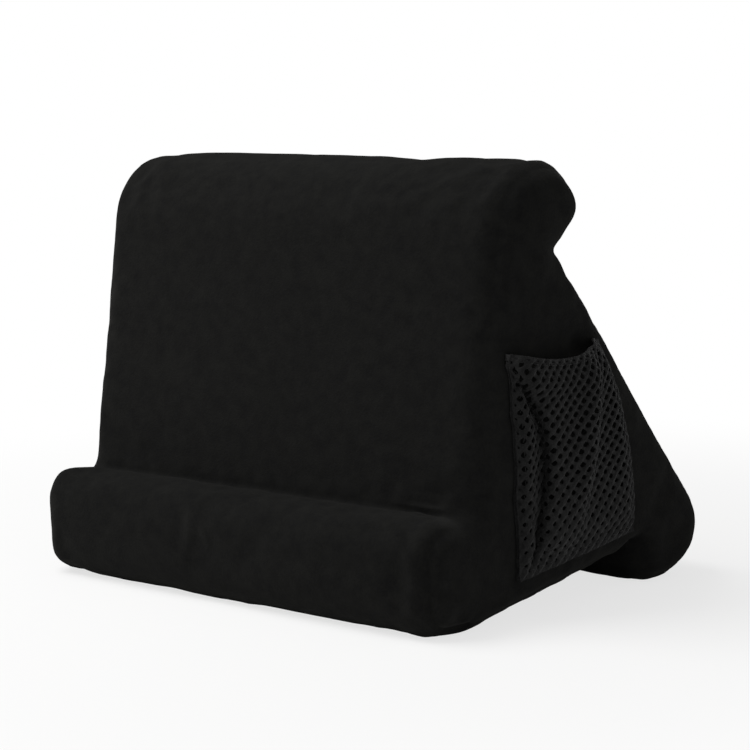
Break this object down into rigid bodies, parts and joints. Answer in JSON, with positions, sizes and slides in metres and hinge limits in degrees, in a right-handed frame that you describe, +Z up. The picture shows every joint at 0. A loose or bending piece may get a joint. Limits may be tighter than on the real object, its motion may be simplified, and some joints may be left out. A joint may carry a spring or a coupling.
{
  "type": "tablet cushion stand",
  "caption": "Soft foam wedge cushion in black plush with a front ledge for a tablet, three rounded lobes and a net pocket on one side.",
  "frame": {"origin": "on the floor, under the middle of the whole stand's box, pocket included", "axes": "+X towards the side with the pocket, +Y from the ledge to the back, +Z up"},
  "size_m": [0.293, 0.216, 0.22],
  "materials": {
    "foam": "open-cell polyurethane foam",
    "plush": "short-pile knitted plush, matt",
    "net": "knitted polyester net",
    "elastic": "woven flat elastic"
  },
  "bodies": {
    "root": {"foam_core": "foam", "face_panel": "plush", "bolster_panel": "plush", "back_panel": "plush", "left_side_panel": "plush", "right_side_panel": "plush", "pocket_net": "net", "pocket_elastic": "elastic"}
  },
  "joints": []
}
